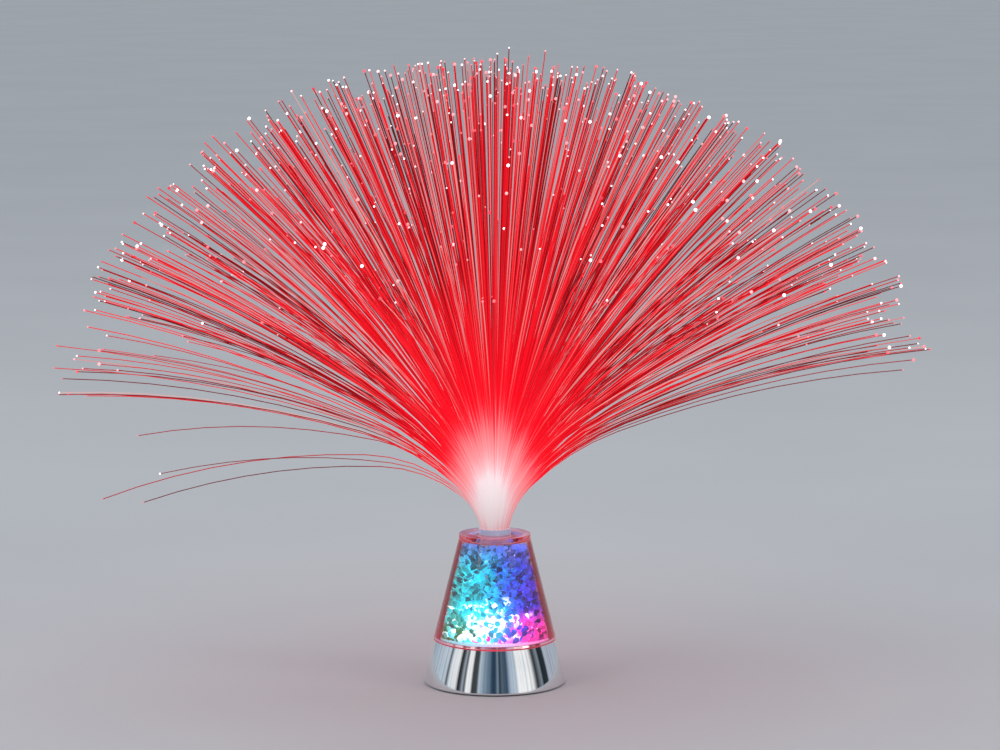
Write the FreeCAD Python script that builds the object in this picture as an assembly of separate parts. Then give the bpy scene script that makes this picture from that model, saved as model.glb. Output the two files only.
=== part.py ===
import FreeCAD, Part
import math
import os

# Fibre optic crystal lamp, battery powered. Millimetres.
# Origin: centre of the lamp on the surface it stands on. +Z up, -Y is the front.
# From the table up: foot pads, bottom plate with the battery well, chromed base shell,
# clear cup full of crystal chips, and the spray of fibres that stands in the cup's socket.

Vector = FreeCAD.Vector
Z_AXIS = Vector(0, 0, 1)
GOLDEN_ANGLE = math.pi * (3 - math.sqrt(5))
CUT_STEP = math.sqrt(13)      # irrational, so that no two fibres are cut alike

# ---- Driving dimensions ----

# Base shell: chromed cone that everything else is fixed to
base_radius = 40.0            # at its foot
base_top_radius = 34.0        # at the shoulder under the cup
base_height = 24.5            # foot of the shell to the shoulder
base_lip = 1.0                # upright band at the foot
base_wall = 2.0
shell_clearance = 0.8         # foot of the shell above the table
deck_thickness = 2.0
deck_step = 1.5               # raised middle of the deck, which centres the cup
light_well_radius = 25.0      # opening that the lights shine through

# Clear cup
cup_overhang = 1.0            # the cup's foot stands proud of the shell's shoulder
cup_height = 60.7
cup_top_radius = 20.3
cup_rim = 2.5                 # upright band round the lid
cup_lid = 3.5
cup_wall_foot = 3.5           # wall at the foot, thick and clear
cup_wall_top = 2.0
crystal_floor_thickness = 1.5

# Socket in the middle of the cup
socket_wall = 1.9
ledge_width = 1.0             # step that the ferrule stands on
socket_depth = 26.0           # lid to ledge

# Fibre spray
ferrule_radius = 9.1
ferrule_wall = 0.6
ferrule_rise = 3.0            # ferrule above the lid
inner_fibre_count = 176
rim_fibre_count = 24
stray_fibre_count = 4         # fibres that have sagged below the rest
fibre_radius = 0.40           # corner radius of the section
fibre_sides = 3
fibre_length_root = 30.0      # strongest bend, just above the ferrule
fibre_length_middle = 65.0
fibre_length_tip = 178.0
fibre_shortening = 0.06       # how much less the shortest fibre has than the longest
lean_mouth = 12.0             # lean of a rim fibre from upright, in degrees
lean_root = 45.0
lean_middle = 68.0
lean_tip = 84.0
upright_crowding = 0.62       # above a half, more fibres stand near upright than near the rim's lean
inner_lean = 0.93             # lean of the outermost inner fibre against a rim fibre's
front_lean = 0.80             # leans at the front and back against those at the sides
stray_azimuth = 180.0         # middle of the sagged side
stray_sag = (7.0, 22.0, 28.0) # what a sagged fibre leans more at the end of each bend
stray_relief = 0.13           # how much less each next one has sagged
stray_shortening = 0.12       # and every second one is shorter by as much again
chord_error = 2.4             # how far a fibre's straight spans may leave its curve
rim_inset = 0.75              # rim fibres inside the bundle's edge
rim_gap = 1.0                 # rim fibres to the next ones in

# Crystal chips
chip_pitch = 7.7
chip_gap = 0.5
chip_sides = 4
chip_taper = 0.74             # top of a chip against its bottom
chip_fill = 0.98              # width of the largest chips against the pitch
chip_step = 0.08              # how much smaller each of the next two sizes is

# Bottom plate, battery well and door
plate_thickness = 2.0
plate_recess = 0.8            # plate above the foot of the shell
plate_clearance = 0.25
cell_radius = 5.25
cell_length = 43.5
cell_nub_radius = 1.9
cell_nub_length = 1.0
cell_count = 3
cell_pitch = 10.8
cell_end_room = 2.6           # contact and spring at each end of a cell
well_wall = 1.2
well_clearance = 0.3
door_thickness = 1.6
door_overlap = 0.9            # ledge that the door closes against
door_clearance = 0.25
tongue_length = 1.4
tongue_width = 4.0
tongue_thickness = 0.8
tongue_place = 11.0           # of each tongue from the door's middle line
latch_length = 2.8
latch_width = 9.0
latch_thickness = 1.1
tongue_clearance = 0.1        # under a tongue
swing_clearance = 0.3         # over a tongue's corner as the door swings
grip_count = 4                # grooves for a thumb beside the latch
grip_inset = 4.0              # first groove from the door's edge
grip_pitch = 2.2
grip_width = 0.9
grip_depth = 0.4
grip_length = 13.0

# Feet and screws
pad_radius = 3.0
pad_inset = 3.5               # pad's centre from the plate's edge
pad_angle = 20.0              # from the battery door's long axis, beside its ends
screw_inset = 4.5             # screw's centre from the plate's edge
screw_angle = 55.0            # from the same axis, beside the battery well's corners
screw_head_radius = 2.3
screw_head_height = 1.2
screw_radius = 1.15
pilot_depth = 8.0
pilot_end_room = 1.0          # bottom of the hole past the screw's end
pilot_clearance = 0.05
screw_hole_clearance = 0.25
boss_radius = 3.2
boss_sides = 8
disc_sides = 24               # flats round pads and screw heads
wall_sides = 60               # flats round the base and the cup

# Light board
board_clearance = 1.5         # its corners to the screw bosses
board_corner_angle = 30.0     # of the corners beside the X axis
board_thickness = 1.6
board_tab_width = 10.0
board_tab_reach = 30.3
board_drop = 3.2              # board's top under the deck
board_stop = (7.0, 2.2)       # rib that the board's tab is pushed up against
arm_thickness = 1.2
arm_hook = 0.9
arm_clearance = 0.2
led_size = 5.0
led_height = 1.6
led_circle = 13.0
led_angles = {"green": 200.0, "magenta": 320.0, "blue": 80.0}
controller_size = (5.0, 4.0, 1.5)

# Slide switch
switch_place = -27.5
switch_size = (10.0, 5.0, 4.2)
switch_cavity = (8.2, 3.3, 2.2)
switch_shoe = (5.8, 3.1, 1.9)
switch_travel = 2.0
handle_size = (2.2, 2.0)
handle_set_back = 0.3         # handle's end inside the plate's outer face
handle_clearance = 0.15
handle_groove_pitch = 0.7
handle_groove_width = 0.25
cradle_wall = 1.0
cradle_height = 2.5
cradle_clearance = 0.1

# Contacts and leads
contact_thickness = 0.4
contact_width = 7.0
contact_height = 9.0
contact_bulge = 1.8
solder_tab_width = 2.2
lead_radius = 0.55
lead_sides = 3
lead_bend = 4.0
tab_end_drop = 4.0            # solder tabs end this far under the board
terminal_size = (1.2, 0.5, 2.0)
lead_rise = 3.0               # straight run where a lead leaves its joint
lead_lift = 4.5               # how far the leads climb past the well's top on their way
black_joint = (-0.50, 0.62)   # leads' joints on the board, as shares of its half width
switch_joint = (-0.30, -0.86)

# ---- Levels and radii that follow from them ----

shell_foot = shell_clearance
deck_level = shell_foot + base_height
cup_seat = deck_level
deck_top = deck_level + deck_step
deck_underside = deck_top - deck_thickness
cup_foot_radius = base_top_radius + cup_overhang
cup_top = cup_seat + cup_height
lid_underside = cup_top - cup_lid
step_clearance = 0.1
deck_step_radius = base_top_radius - base_wall - step_clearance

socket_clearance = 0.06
socket_radius = ferrule_radius + socket_clearance
socket_outer_radius = socket_radius + socket_wall
ledge_level = cup_top - socket_depth
ledge_radius = socket_radius - ledge_width
ferrule_top = cup_top + ferrule_rise
bundle_clearance = 0.05
bundle_radius = ferrule_radius - ferrule_wall - bundle_clearance
rim_radius = bundle_radius - rim_inset

crystal_floor_top = deck_top + crystal_floor_thickness
cavity_foot_radius = cup_foot_radius - cup_wall_foot
cavity_top_radius = cup_top_radius - cup_wall_top

plate_underside = shell_foot + plate_recess
plate_top = plate_underside + plate_thickness

door_top = plate_underside + door_thickness
well_half_length = cell_length / 2 + cell_nub_length / 2 + cell_end_room
well_half_width = cell_pitch * cell_count / 2 + well_clearance
door_half_length = well_half_length + door_overlap
door_half_width = well_half_width + door_overlap
cell_level = door_top + well_clearance + cell_radius
well_ceiling = cell_level + cell_radius + well_clearance
well_top = well_ceiling + well_wall

board_top = deck_underside - board_drop
board_underside = board_top - board_thickness


def between(level, low, high, radius_low, radius_high):
    """Radius of a tapered wall at a level."""
    return radius_low + (level - low) / (high - low) * (radius_high - radius_low)


def cavity_radius(level):
    """Inner radius of the cup's tapered cavity at a level."""
    return between(level, deck_top, lid_underside, cavity_foot_radius, cavity_top_radius)


def shell_inner_radius(level):
    """Inner radius of the base shell's skirt at a level."""
    return between(level, shell_foot, deck_underside, base_radius - base_wall, base_top_radius - base_wall)


plate_radius = shell_inner_radius(plate_top) - plate_clearance
screw_circle = plate_radius - screw_inset
pad_circle = plate_radius - pad_inset
board_radius = screw_circle - boss_radius - board_clearance
board_half = board_radius * math.cos(math.radians(board_corner_angle))
board_corner = board_radius * math.sin(math.radians(board_corner_angle))


# ---- Building helpers ----

def export(node, solids):
    """Write one sub-part. A list of solids is a group that shares the node."""
    if isinstance(solids, list):
        shape = Part.makeCompound(solids)
    else:
        shape = solids
    shape.exportStep("parts/" + node + ".step")


def flat_ring(radius, sides, centre, turn=0.0):
    """Corners of a level polygon round a centre."""
    ring = []
    for corner in range(sides):
        angle = turn + 2 * math.pi * corner / sides
        ring.append(centre + Vector(radius * math.cos(angle), radius * math.sin(angle), 0))
    return ring


def flat_face(corners):
    return Part.Face(Part.makePolygon(corners + corners[:1]))


def closed_solid(faces):
    solid = Part.Solid(Part.makeShell(faces))
    if solid.Volume < 0:
        solid.reverse()
    return solid


def taper(radius_low, radius_high, low, high):
    """Round tapered solid with fine flats, which keep its mesh light."""
    foot = flat_ring(radius_low, wall_sides, Vector(0, 0, low))
    head = flat_ring(radius_high, wall_sides, Vector(0, 0, high))
    faces = [flat_face(foot), flat_face(head)]
    for corner in range(wall_sides):
        following = (corner + 1) % wall_sides
        faces.append(flat_face([foot[corner], foot[following], head[following], head[corner]]))
    return closed_solid(faces)


def many_sided(radius, sides, low, high, x, y):
    return flat_face(flat_ring(radius, sides, Vector(x, y, low))).extrude(Vector(0, 0, high - low))


def upright(radius, low, high):
    """Upright wall or plate about the middle, with the tapered walls' flats."""
    return many_sided(radius, wall_sides, low, high, 0, 0)


def disc(radius, low, high):
    """Upright cylinder about the middle, for what runs or fits in a bore."""
    return Part.makeCylinder(radius, high - low, Vector(0, 0, low))


def block(x_low, x_high, y_low, y_high, low, high):
    return Part.makeBox(x_high - x_low, y_high - y_low, high - low, Vector(x_low, y_low, low))


def block_at(x, y, size_x, size_y, low, high):
    """Block centred on x, y."""
    return block(x - size_x / 2, x + size_x / 2, y - size_y / 2, y + size_y / 2, low, high)


def prism(outline, low, high):
    """Upright prism on a polygon of (x, y) points."""
    points = [Vector(x, y, low) for x, y in outline]
    face = Part.Face(Part.makePolygon(points + points[:1]))
    return face.extrude(Vector(0, 0, high - low))


def side_prism(outline, y, width):
    """Prism along Y on a polygon of (x, z) points, centred on y."""
    points = [Vector(x, y - width / 2, z) for x, z in outline]
    face = Part.Face(Part.makePolygon(points + points[:1]))
    return face.extrude(Vector(0, width, 0))


def polar(radius, degrees):
    angle = math.radians(degrees)
    return radius * math.cos(angle), radius * math.sin(angle)


def section_ring(centre, radius, sides, axis):
    """Closed polygon round a centre, square to an axis."""
    across = axis.cross(Vector(0.31, 0.95, 0.02)).normalize()
    along = axis.cross(across).normalize()
    corners = []
    for corner in range(sides):
        angle = 2 * math.pi * corner / sides
        corners.append(centre + across * (radius * math.cos(angle)) + along * (radius * math.sin(angle)))
    return Part.makePolygon(corners + corners[:1])


def mirrored(angle):
    """An angle from the X axis, and its mirror images across both middle lines."""
    return (angle, 180 - angle, 180 + angle, 360 - angle)


# ---- Base shell ----

def make_base_shell():
    lip = upright(base_radius, shell_foot, shell_foot + base_lip)
    skirt = taper(base_radius, base_top_radius, shell_foot + base_lip, deck_level)
    step = upright(deck_step_radius, deck_level, deck_top)
    hollow = taper(base_radius - base_wall, base_top_radius - base_wall, shell_foot, deck_underside)
    shell = lip.fuse(skirt).fuse(step).cut(hollow)
    pilot_radius = (screw_radius + pilot_clearance) / math.cos(math.pi / boss_sides)
    for angle in mirrored(screw_angle):
        x, y = polar(screw_circle, angle)
        boss = many_sided(boss_radius, boss_sides, plate_top, deck_underside, x, y)
        pilot = many_sided(pilot_radius, boss_sides, plate_top, plate_top + pilot_depth, x, y)
        shell = shell.fuse(boss.common(hollow)).cut(pilot)
    for side in (-1, 1):
        shell = shell.fuse(make_board_holder(side))
    return shell.cut(upright(light_well_radius, deck_underside, deck_top)).removeSplitter()


def make_board_holder(side):
    """Stop rib over one tab of the light board, and the snap arm that hooks under the tab's end."""
    width, depth = board_stop
    arm_inner = board_tab_reach + arm_clearance
    stop_middle = board_tab_reach - 2 * depth
    stop = block_at(0, side * stop_middle, width, depth, board_top, deck_underside)
    hook_foot = board_underside - arm_hook
    arm = block_at(0, side * (arm_inner + arm_thickness / 2), width, arm_thickness, hook_foot, deck_underside)
    hook = block_at(0, side * (arm_inner - arm_hook / 2), width, arm_hook, hook_foot, board_underside)
    return stop.fuse(arm).fuse(hook)


# ---- Clear cup, its crystal floor and the chips in it ----

def make_crystal_cup():
    """Clear cup, open below, with a tube down its middle that the spray stands in."""
    wall = taper(cup_foot_radius, cup_top_radius, cup_seat, cup_top - cup_rim)
    rim = upright(cup_top_radius, cup_top - cup_rim, cup_top)
    cavity = taper(cavity_foot_radius, cavity_top_radius, deck_top, lid_underside)
    recess = upright(deck_step_radius + step_clearance, cup_seat, deck_top)
    tube = disc(socket_outer_radius, crystal_floor_top, lid_underside)
    light_bore = disc(ledge_radius, crystal_floor_top, ledge_level)
    socket = disc(socket_radius, ledge_level, cup_top)
    cup = wall.fuse(rim).cut(cavity).cut(recess).fuse(tube)
    return cup.cut(light_bore).cut(socket).removeSplitter()


def make_crystal_floor():
    radius = cavity_foot_radius - step_clearance - chip_gap
    return upright(radius, deck_top, crystal_floor_top)


def make_chip(centre, order):
    """One cut crystal: a twisted, tapered prism, turned, scaled and up-ended by its place in the fill."""
    radius = chip_pitch / 2 * (chip_fill - chip_step * (order % 3))
    height = chip_pitch - chip_gap
    turn = order * GOLDEN_ANGLE
    wide = flat_ring(radius, chip_sides, centre, turn)
    narrow = flat_ring(radius * chip_taper, chip_sides, centre, turn + math.pi / chip_sides)
    raised = narrow if order % 2 else wide
    for corner in raised:
        corner.z += height
    faces = [flat_face(wide), flat_face(narrow)]
    for corner in range(chip_sides):
        following = (corner + 1) % chip_sides
        faces.append(flat_face([wide[corner], wide[following], narrow[corner]]))
        faces.append(flat_face([narrow[corner], narrow[following], wide[following]]))
    return closed_solid(faces)


def make_crystal_chips():
    """Rings of chips, layer on layer, in the space between socket and wall."""
    chips = []
    layer_count = int((lid_underside - crystal_floor_top - chip_gap) / chip_pitch)
    for layer in range(layer_count):
        level = crystal_floor_top + chip_gap / 2 + layer * chip_pitch
        outermost = cavity_radius(level + chip_pitch) - chip_pitch / 2
        innermost = socket_outer_radius + chip_pitch / 2
        ring_count = max(1, 1 + int((outermost - innermost) / chip_pitch))
        for ring in range(ring_count):
            ring_radius = outermost - ring * chip_pitch
            in_ring = int(math.pi / math.asin(chip_pitch / 2 / ring_radius))
            for place in range(in_ring):
                angle = 2 * math.pi * place / in_ring + layer * GOLDEN_ANGLE + ring
                centre = Vector(ring_radius * math.cos(angle), ring_radius * math.sin(angle), level)
                chips.append(make_chip(centre, len(chips)))
    return chips


# ---- Bottom plate, battery well and door ----

def tongue_places():
    return (-tongue_place, tongue_place)


def make_bottom_plate():
    plate = upright(plate_radius, plate_underside, plate_top)
    tub = block(-well_half_length - well_wall, well_half_length + well_wall,
                -well_half_width - well_wall, well_half_width + well_wall, plate_top, well_top)
    plate = plate.fuse(tub)
    opening = block(-door_half_length - door_clearance, door_half_length + door_clearance,
                    -door_half_width - door_clearance, door_half_width + door_clearance,
                    plate_underside, door_top)
    well = block(-well_half_length, well_half_length, -well_half_width, well_half_width,
                 plate_underside, well_ceiling)
    bay = block(door_half_length, door_half_length + latch_length + 2 * door_clearance,
                -latch_width / 2 - door_clearance, latch_width / 2 + door_clearance,
                plate_underside, door_top)
    plate = plate.cut(opening).cut(well).cut(bay)
    for place in tongue_places():
        notch_reach = tongue_length + door_clearance
        notch_low = door_top - tongue_thickness - tongue_clearance
        notch_high = plate_underside + math.hypot(tongue_length, door_thickness) + swing_clearance
        notch = block(-door_half_length - notch_reach, -well_half_length,
                      place - tongue_width / 2 - door_clearance,
                      place + tongue_width / 2 + door_clearance, notch_low, notch_high)
        plate = plate.cut(notch)
    for angle in mirrored(screw_angle):
        x, y = polar(screw_circle, angle)
        hole = many_sided(screw_radius + screw_hole_clearance, boss_sides, plate_underside, plate_top, x, y)
        sink = many_sided(screw_head_radius + screw_hole_clearance, disc_sides, plate_underside,
                          plate_underside + screw_head_height, x, y)
        plate = plate.cut(hole).cut(sink)
    slot_length = handle_size[0] + switch_travel + 2 * handle_clearance
    slot = block(-handle_size[0] / 2 - handle_clearance, slot_length - handle_size[0] / 2 - handle_clearance,
                 switch_place - handle_size[1] / 2 - handle_clearance,
                 switch_place + handle_size[1] / 2 + handle_clearance, plate_underside, plate_top)
    plate = plate.cut(slot)
    cradle_x = switch_size[0] + 2 * (cradle_clearance + cradle_wall)
    cradle_y = switch_size[1] + 2 * (cradle_clearance + cradle_wall)
    middle = switch_travel / 2
    cradle = block_at(middle, switch_place, cradle_x, cradle_y, plate_top, plate_top + cradle_height)
    cradle = cradle.cut(block_at(middle, switch_place, cradle_x - 2 * cradle_wall,
                                 cradle_y - 2 * cradle_wall, plate_top, plate_top + cradle_height))
    for side in (-1, 1):
        x = side * (well_half_length - contact_thickness / 2 - door_clearance / 2)
        gap = 2 * door_clearance
        slit = block_at(x, contact_rows(side)["single"], contact_thickness + gap, solder_tab_width + gap,
                        well_ceiling, well_top)
        plate = plate.cut(slit)
    return plate.fuse(cradle).removeSplitter()


def make_battery_door():
    door = block(-door_half_length, door_half_length, -door_half_width, door_half_width,
                 plate_underside, door_top)
    for place in tongue_places():
        tongue = block(-door_half_length - tongue_length, -door_half_length,
                       place - tongue_width / 2, place + tongue_width / 2,
                       door_top - tongue_thickness, door_top)
        door = door.fuse(tongue)
    reach = door_half_length + latch_length
    latch = side_prism([
        (door_half_length, plate_underside),
        (reach, plate_underside),
        (reach, door_top - door_clearance),
        (reach - latch_thickness, door_top - door_clearance),
        (reach - latch_thickness, plate_underside + latch_thickness / 2),
        (door_half_length, plate_underside + latch_thickness / 2),
    ], 0, latch_width)
    door = door.fuse(latch)
    for line in range(grip_count):
        x = door_half_length - grip_inset - grip_pitch * line
        groove = block_at(x, 0, grip_width, grip_length, plate_underside, plate_underside + grip_depth)
        door = door.cut(groove)
    return door.removeSplitter()


# ---- Batteries and their contacts ----

def cell_row(index):
    return ((cell_count - 1) / 2 - index) * cell_pitch


def make_cell(index):
    """Cells lie side by side, every second one turned round."""
    y = cell_row(index)
    way = 1 if index % 2 == 0 else -1
    body_start = -way * (cell_length + cell_nub_length) / 2
    body = Part.makeCylinder(cell_radius, cell_length, Vector(body_start, y, cell_level), Vector(way, 0, 0))
    nub_start = body_start + way * cell_length
    half = cell_nub_radius * math.cos(math.pi / 4)
    corners = [(y - half, -half), (y + half, -half), (y + half, half), (y - half, half)]
    nub = flat_face([Vector(nub_start, across, cell_level + up) for across, up in corners])
    return body.fuse(nub.extrude(Vector(way * cell_nub_length, 0, 0)))


def contact_rows(side):
    """Rows of cells that the contacts at one end of the well touch, and where their tabs stand."""
    rows = sorted(cell_row(index) for index in range(cell_count))
    if side < 0:
        return {"single": rows[-1], "pair": rows[:-1]}
    return {"single": rows[0], "pair": rows[1:]}


def contact_strip(side, low_row, high_row, with_tab):
    """Stamped strip on the well's end wall, with a sprung bulge for each cell."""
    wall = well_half_length - door_clearance / 2
    face = wall - contact_thickness
    low = cell_level - contact_height / 2
    high = cell_level + contact_height / 2
    width = high_row - low_row + contact_width
    middle = (low_row + high_row) / 2
    x_low, x_high = sorted((side * wall, side * face))
    strip = block(x_low, x_high, middle - width / 2, middle + width / 2, low, high)
    for row in sorted({low_row, high_row}):
        bulge = side_prism([
            (side * face, cell_level - contact_height / 3),
            (side * (face - contact_bulge), cell_level),
            (side * face, cell_level + contact_height / 3),
        ], row, contact_width / 2)
        strip = strip.fuse(bulge)
    if with_tab:
        tab = block(x_low, x_high, middle - solder_tab_width / 2, middle + solder_tab_width / 2,
                    high, board_underside - tab_end_drop)
        strip = strip.fuse(tab)
    return strip.removeSplitter()


# ---- Light board ----

def make_light_board():
    """Eight-cornered board with a tab at the front and the back."""
    tab = board_tab_width / 2
    quarter = [
        (board_half, board_corner),
        (board_corner, board_half),
        (tab, board_half),
        (tab, board_tab_reach),
    ]
    outline = quarter
    outline = outline + [(-x, y) for x, y in reversed(quarter)]
    outline = outline + [(-x, -y) for x, y in quarter]
    outline = outline + [(x, -y) for x, y in reversed(quarter)]
    return prism(outline, board_underside, board_top)


def make_led(radius, degrees):
    """Surface-mounted light with a bevelled top edge."""
    x, y = polar(radius, degrees)
    body = block_at(x, y, led_size, led_size, board_top, board_top + led_height)
    edges = [edge for edge in body.Edges if edge.BoundBox.ZMin > board_top + led_height / 2]
    return body.makeChamfer(led_height / 4, edges)


def make_controller():
    length, width, height = controller_size
    return block_at(0, 0, length, width, board_underside - height, board_underside)


# ---- Slide switch ----

def make_switch_body():
    length, width, height = switch_size
    middle = switch_travel / 2
    body = block_at(middle, switch_place, length, width, plate_top, plate_top + height)
    cavity = block_at(middle, switch_place, switch_cavity[0], switch_cavity[1],
                      plate_top, plate_top + switch_cavity[2])
    body = body.cut(cavity)
    for side in (-1, 1):
        terminal = block_at(middle + side * length / 4, switch_place, terminal_size[0], terminal_size[1],
                            plate_top + height, plate_top + height + terminal_size[2])
        body = body.fuse(terminal)
    return body


def make_switch_slider():
    seat = plate_top + (switch_cavity[2] - switch_shoe[2]) / 2
    shoe = block_at(0, switch_place, switch_shoe[0], switch_shoe[1], seat, seat + switch_shoe[2])
    handle = block_at(0, switch_place, handle_size[0], handle_size[1],
                      plate_underside + handle_set_back, seat)
    slider = shoe.fuse(handle)
    for rib in (-1, 0, 1):
        groove = block_at(rib * handle_groove_pitch, switch_place, handle_groove_width, handle_size[1],
                          plate_underside + handle_set_back, plate_underside + 2 * handle_set_back)
        slider = slider.cut(groove)
    return slider


# ---- Screws and pads ----

def make_screw(x, y, head_low, length):
    head = many_sided(screw_head_radius, disc_sides, head_low, head_low + screw_head_height, x, y)
    shank_low = head_low + screw_head_height
    return head.fuse(many_sided(screw_radius, boss_sides, shank_low, shank_low + length, x, y))


def make_plate_screws():
    shank = plate_thickness - screw_head_height + pilot_depth - pilot_end_room
    return [make_screw(*polar(screw_circle, angle), plate_underside, shank)
            for angle in mirrored(screw_angle)]


def make_foot_pads():
    """Stick-on pads; their thickness is what lifts the plate off the table."""
    return [many_sided(pad_radius, disc_sides, 0, plate_underside, *polar(pad_circle, angle))
            for angle in mirrored(pad_angle)]


# ---- Leads ----

def make_lead(points):
    """Insulated wire along straight runs joined by tangent arcs."""
    edges = []
    start = points[0]
    for index in range(1, len(points) - 1):
        before = (points[index] - points[index - 1]).normalize()
        after = (points[index + 1] - points[index]).normalize()
        turn = before.getAngle(after)
        shorter = min((points[index] - points[index - 1]).Length, (points[index + 1] - points[index]).Length)
        setback = min(0.45 * shorter, lead_bend * math.tan(turn / 2))
        radius = setback / math.tan(turn / 2)
        arc_start = points[index] - before * setback
        arc_end = points[index] + after * setback
        inward = (after - before).normalize()
        middle = points[index] + inward * (radius / math.cos(turn / 2) - radius)
        edges.append(Part.LineSegment(start, arc_start).toShape())
        edges.append(Part.Arc(arc_start, middle, arc_end).toShape())
        start = arc_end
        print("lead bend radius %.1f" % radius)
    edges.append(Part.LineSegment(start, points[-1]).toShape())
    path = Part.Wire(edges)
    ring = section_ring(points[0], lead_radius, lead_sides, (points[1] - points[0]).normalize())
    lead = path.makePipeShell([ring], True, False)
    expected = Part.Face(ring).Area * path.Length
    print("lead length %.1f, volume over section times length %.3f" % (path.Length, lead.Volume / expected))
    return lead


def switch_terminal(side):
    x = switch_travel / 2 + side * switch_size[0] / 4
    return Vector(x, switch_place, plate_top + switch_size[2] + terminal_size[2])


def solder_tab_end(side):
    x = side * (well_half_length - door_clearance / 2 - contact_thickness / 2)
    return Vector(x, contact_rows(side)["single"], board_underside - tab_end_drop)


def board_joint(shares):
    return Vector(shares[0] * board_half, shares[1] * board_half, board_underside)


def make_red_lead():
    """Battery's positive contact to the switch, over the corner of the well."""
    rise = Vector(0, 0, lead_rise)
    start = solder_tab_end(1)
    end = switch_terminal(1)
    level = start.z + lead_rise
    return make_lead([
        start,
        start + rise,
        Vector(start.x - lead_rise, -well_half_width / 2 - lead_bend, level),
        Vector(well_half_length / 2, switch_place + 1.5 * lead_bend, level - lead_rise / 2),
        end + Vector(lead_rise, lead_rise, lead_lift),
        end + rise,
        end,
    ])


def make_black_lead():
    """Battery's negative contact to the light board."""
    start = solder_tab_end(-1)
    end = board_joint(black_joint)
    return make_lead([
        start,
        start + Vector(0, 0, lead_rise),
        start + Vector(lead_rise, lead_lift, lead_rise),
        end - Vector(lead_rise, 0, lead_rise),
        end - Vector(0, 0, lead_rise),
        end,
    ])


def make_switch_lead():
    """Switch to the light board."""
    start = switch_terminal(-1)
    end = board_joint(switch_joint)
    return make_lead([
        start,
        start + Vector(0, 0, lead_rise),
        start + Vector(-lead_rise, 0, lead_lift),
        end - Vector(0, 0, lead_rise),
        end,
    ])


# ---- Fibre spray ----

def make_ferrule():
    tube = disc(ferrule_radius, ledge_level, ferrule_top)
    return tube.cut(disc(ferrule_radius - ferrule_wall, ledge_level, ferrule_top))


def make_bundle_core():
    return disc(bundle_radius, ledge_level, ferrule_top)


def fibre_spans(leans, length_factor):
    """Length of each bend of a fibre and the lean at its end, in radians."""
    lengths = (fibre_length_root, fibre_length_middle, fibre_length_tip)
    return [(length * length_factor, math.radians(lean)) for length, lean in zip(lengths, leans)]


def fibre_points(start_radius, start_lean, spans):
    """Points (distance out, height) along arcs that follow on smoothly from each other."""
    out, up, lean = start_radius, ferrule_top, start_lean
    points = [(out, up)]
    for length, end_lean in spans:
        turn = end_lean - lean
        bend = length / turn
        sagitta = abs(length * turn) / 8
        pieces = max(1, math.ceil(math.sqrt(sagitta / chord_error)))
        for piece in range(1, pieces + 1):
            angle = lean + turn * piece / pieces
            points.append((out + bend * (math.cos(lean) - math.cos(angle)),
                           up + bend * (math.sin(angle) - math.sin(lean))))
        out, up = points[-1]
        lean = end_lean
    return points


def cut_back(order):
    """How much shorter a fibre was cut than the longest. It differs from each one to the next."""
    return fibre_shortening * (order * CUT_STEP % 1.0)


def make_fibre(azimuth, start_radius, share, shorter, sag=0.0):
    """One fibre. Its share is how much of a rim fibre's lean it has."""
    sideways = share * (front_lean + (1 - front_lean) * math.cos(azimuth) ** 2)
    leans = [lean * sideways + sag * extra
             for lean, extra in zip((lean_root, lean_middle, lean_tip), stray_sag)]
    start_lean = math.radians(lean_mouth * sideways)
    profile = fibre_points(start_radius, start_lean, fibre_spans(leans, 1.0 - shorter))
    points = [Vector(out * math.cos(azimuth), out * math.sin(azimuth), up) for out, up in profile]
    foot = section_ring(points[0], fibre_radius, fibre_sides, Z_AXIS)
    return Part.makePolygon(points).makePipeShell([foot], True, False, 1)


def make_inner_fibres(first, last):
    """Fibres in sunflower order, which spaces them evenly where they leave the bundle."""
    widest = rim_radius - rim_gap
    fibres = []
    for index in range(first, last):
        place = (index + 0.5) / inner_fibre_count
        share = inner_lean * place ** upright_crowding
        fibres.append(make_fibre(index * GOLDEN_ANGLE, widest * math.sqrt(place), share, cut_back(index)))
    return fibres


def make_rim_fibres():
    """The outermost fibres, evenly spaced from the sagged side on, and the strays between them."""
    step = 2 * math.pi / rim_fibre_count
    middle = math.radians(stray_azimuth)
    fibres = [make_fibre(middle + index * step, rim_radius, 1.0, cut_back(index))
              for index in range(rim_fibre_count)]
    for index in range(stray_fibre_count):
        side = 1 if index % 2 else -1
        azimuth = middle + side * (index // 2 + 0.5) * step
        shorter = stray_shortening * (1 + index % 2)
        fibres.append(make_fibre(azimuth, rim_radius, 1.0, shorter, 1.0 - stray_relief * index))
    return fibres


# ---- Assembly ----

os.makedirs("parts", exist_ok=True)

export("base_shell", make_base_shell())
export("crystal_cup", make_crystal_cup())
export("crystal_floor", make_crystal_floor())
export("crystal_chips", make_crystal_chips())

export("bottom_plate", make_bottom_plate())
export("battery_door", make_battery_door())
export("foot_pads", make_foot_pads())
export("plate_screws", make_plate_screws())

for cell in range(cell_count):
    export("battery_%d" % (cell + 1), make_cell(cell))
for side, label in ((-1, "left"), (1, "right")):
    rows = contact_rows(side)
    export("contact_%s_single" % label, contact_strip(side, rows["single"], rows["single"], True))
    export("contact_%s_bridge" % label, contact_strip(side, rows["pair"][0], rows["pair"][-1], False))

export("light_board", make_light_board())
export("controller", make_controller())
export("led_fibre", make_led(0, 0))
for colour, degrees in led_angles.items():
    export("led_" + colour, make_led(led_circle, degrees))

export("switch_body", make_switch_body())
export("switch_slider", make_switch_slider())
export("battery_lead_red", make_red_lead())
export("battery_lead_black", make_black_lead())
export("switch_lead", make_switch_lead())

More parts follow.
